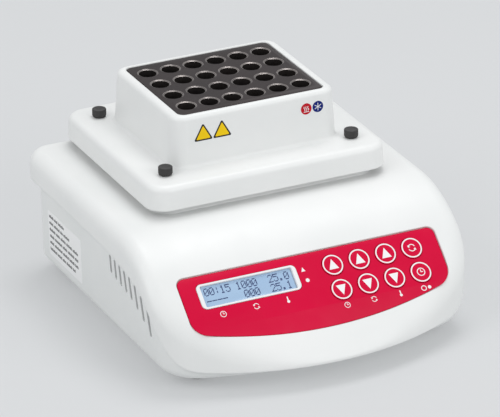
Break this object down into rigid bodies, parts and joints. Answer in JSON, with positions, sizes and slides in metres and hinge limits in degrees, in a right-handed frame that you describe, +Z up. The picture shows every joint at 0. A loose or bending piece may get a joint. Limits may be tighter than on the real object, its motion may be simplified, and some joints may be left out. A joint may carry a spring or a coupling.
{
  "type": "dry block heater",
  "caption": "Shaking dry block heater: a white case with a sloping keypad front carries a platform with a tube block in a collared tray, moved on a small orbit by an eccentric.",
  "frame": {"origin": "on the table, under the centre of the case", "axes": "+Z up, +Y towards the rear, the keypad front towards -Y, +X to the right seen from the front"},
  "size_m": [0.205, 0.23, 0.13],
  "materials": {
    "shell": "satin white moulded ABS",
    "panel": "satin crimson printed foil",
    "print": "satin white",
    "display": "clear window over a light blue display",
    "block": "dark anodised, machined",
    "black_plastic": "matt black moulding",
    "rubber": "matt",
    "steel": "zinc plated and ground steel",
    "brass": "turned",
    "aluminium": "extruded and machined",
    "board": "green solder mask",
    "ceramic": "white alumina",
    "foam": "closed-cell foam",
    "cable": "grey flat cable"
  },
  "bodies": {
    "root": {"top_cover": "shell", "lower_casing": "shell", "foot_front_left": "rubber", "foot_front_right": "rubber", "foot_rear_left": "rubber", "foot_rear_right": "rubber", "casing_screw_front_left": "steel", "casing_screw_front_right": "steel", "casing_screw_rear_left": "steel", "casing_screw_rear_right": "steel", "control_panel": "panel", "display_bezel": "print", "display_module": "display", "display_board": "board", "main_board": "board", "ribbon_cable": "cable", "fan_frame": "black_plastic", "switch_housing": "black_plastic", "dc_inlet": "black_plastic", "chassis_plate": "steel", "chassis_screw_1": "steel", "chassis_screw_2": "steel", "chassis_screw_3": "steel", "chassis_screw_4": "steel", "motor": "steel", "main_bearing": "steel", "idler_bearing_1": "steel", "idler_bearing_2": "steel", "idler_bearing_3": "steel"},
    "key_time_up": {"key_time_up": "panel"},
    "key_speed_up": {"key_speed_up": "panel"},
    "key_temperature_up": {"key_temperature_up": "panel"},
    "key_shaker_start": {"key_shaker_start": "panel"},
    "key_time_down": {"key_time_down": "panel"},
    "key_speed_down": {"key_speed_down": "panel"},
    "key_temperature_down": {"key_temperature_down": "panel"},
    "key_timer_start": {"key_timer_start": "panel"},
    "rocker": {"power_rocker": "black_plastic"},
    "fan": {"fan_rotor": "black_plastic"},
    "eccentric": {"eccentric_shaft": "steel", "counterweight": "brass"},
    "idler_1": {"idler_crank_1": "steel"},
    "idler_2": {"idler_crank_2": "steel"},
    "idler_3": {"idler_crank_3": "steel"},
    "platform": {"platform_plate": "aluminium", "platform_bearing": "steel", "heat_sink": "aluminium", "thermo_module_left": "ceramic", "thermo_module_right": "ceramic", "temperature_sensor": "steel", "heating_block": "block", "insulation_frame": "foam", "block_cover": "shell"},
    "thumbscrew_front_left": {"thumbscrew_front_left": "black_plastic"},
    "thumbscrew_front_right": {"thumbscrew_front_right": "black_plastic"},
    "thumbscrew_rear_left": {"thumbscrew_rear_left": "black_plastic"},
    "thumbscrew_rear_right": {"thumbscrew_rear_right": "black_plastic"}
  },
  "joints": [
    {"name": "eccentric_turn", "type": "hinge", "parent": "root", "child": "eccentric", "pos_m": [0, 0.0465, 0.045], "axis": [0, 0, 1], "continuous": true},
    {"name": "platform_orbit", "type": "hinge", "parent": "eccentric", "child": "platform", "pos_m": [0.001, 0.0465, 0.062], "axis": [0, 0, 1], "continuous": true},
    {"name": "idler_1_turn", "type": "hinge", "parent": "root", "child": "idler_1", "pos_m": [-0.048, 0.0105, 0.045], "axis": [0, 0, 1], "continuous": true},
    {"name": "idler_2_turn", "type": "hinge", "parent": "root", "child": "idler_2", "pos_m": [0.048, 0.0105, 0.045], "axis": [0, 0, 1], "continuous": true},
    {"name": "idler_3_turn", "type": "hinge", "parent": "root", "child": "idler_3", "pos_m": [0, 0.0905, 0.045], "axis": [0, 0, 1], "continuous": true},
    {"name": "fan_spin", "type": "hinge", "parent": "root", "child": "fan", "pos_m": [-0.082, -0.03, 0.0293], "axis": [1, 0, 0], "continuous": true},
    {"name": "press_time_up", "type": "slide", "parent": "root", "child": "key_time_up", "axis": [0, 0.6626, -0.749], "range_m": [0, 0.0008], "stiffness_N_per_m": 500},
    {"name": "press_speed_up", "type": "slide", "parent": "root", "child": "key_speed_up", "axis": [0, 0.6626, -0.749], "range_m": [0, 0.0008], "stiffness_N_per_m": 500},
    {"name": "press_temperature_up", "type": "slide", "parent": "root", "child": "key_temperature_up", "axis": [0, 0.6626, -0.749], "range_m": [0, 0.0008], "stiffness_N_per_m": 500},
    {"name": "press_shaker_start", "type": "slide", "parent": "root", "child": "key_shaker_start", "axis": [0, 0.6626, -0.749], "range_m": [0, 0.0008], "stiffness_N_per_m": 500},
    {"name": "press_time_down", "type": "slide", "parent": "root", "child": "key_time_down", "axis": [0, 0.6626, -0.749], "range_m": [0, 0.0008], "stiffness_N_per_m": 500},
    {"name": "press_speed_down", "type": "slide", "parent": "root", "child": "key_speed_down", "axis": [0, 0.6626, -0.749], "range_m": [0, 0.0008], "stiffness_N_per_m": 500},
    {"name": "press_temperature_down", "type": "slide", "parent": "root", "child": "key_temperature_down", "axis": [0, 0.6626, -0.749], "range_m": [0, 0.0008], "stiffness_N_per_m": 500},
    {"name": "press_timer_start", "type": "slide", "parent": "root", "child": "key_timer_start", "axis": [0, 0.6626, -0.749], "range_m": [0, 0.0008], "stiffness_N_per_m": 500},
    {"name": "rocker_tilt", "type": "hinge", "parent": "root", "child": "rocker", "pos_m": [-0.074, 0.11, 0.034], "axis": [1, 0, 0], "range_deg": [-18, 0]},
    {"name": "thumbscrew_front_left_turn", "type": "hinge", "parent": "platform", "child": "thumbscrew_front_left", "pos_m": [-0.06, -0.0015, 0.1], "axis": [0, 0, 1], "continuous": true},
    {"name": "thumbscrew_front_right_turn", "type": "hinge", "parent": "platform", "child": "thumbscrew_front_right", "pos_m": [0.062, -0.0015, 0.1], "axis": [0, 0, 1], "continuous": true},
    {"name": "thumbscrew_rear_left_turn", "type": "hinge", "parent": "platform", "child": "thumbscrew_rear_left", "pos_m": [-0.06, 0.0945, 0.1], "axis": [0, 0, 1], "continuous": true},
    {"name": "thumbscrew_rear_right_turn", "type": "hinge", "parent": "platform", "child": "thumbscrew_rear_right", "pos_m": [0.062, 0.0945, 0.1], "axis": [0, 0, 1], "continuous": true}
  ],
  "couplings": [
    {"joint": "eccentric_turn", "follows": "platform_orbit", "ratio": -1},
    {"joint": "idler_1_turn", "follows": "platform_orbit", "ratio": -1},
    {"joint": "idler_2_turn", "follows": "platform_orbit", "ratio": -1},
    {"joint": "idler_3_turn", "follows": "platform_orbit", "ratio": -1}
  ]
}
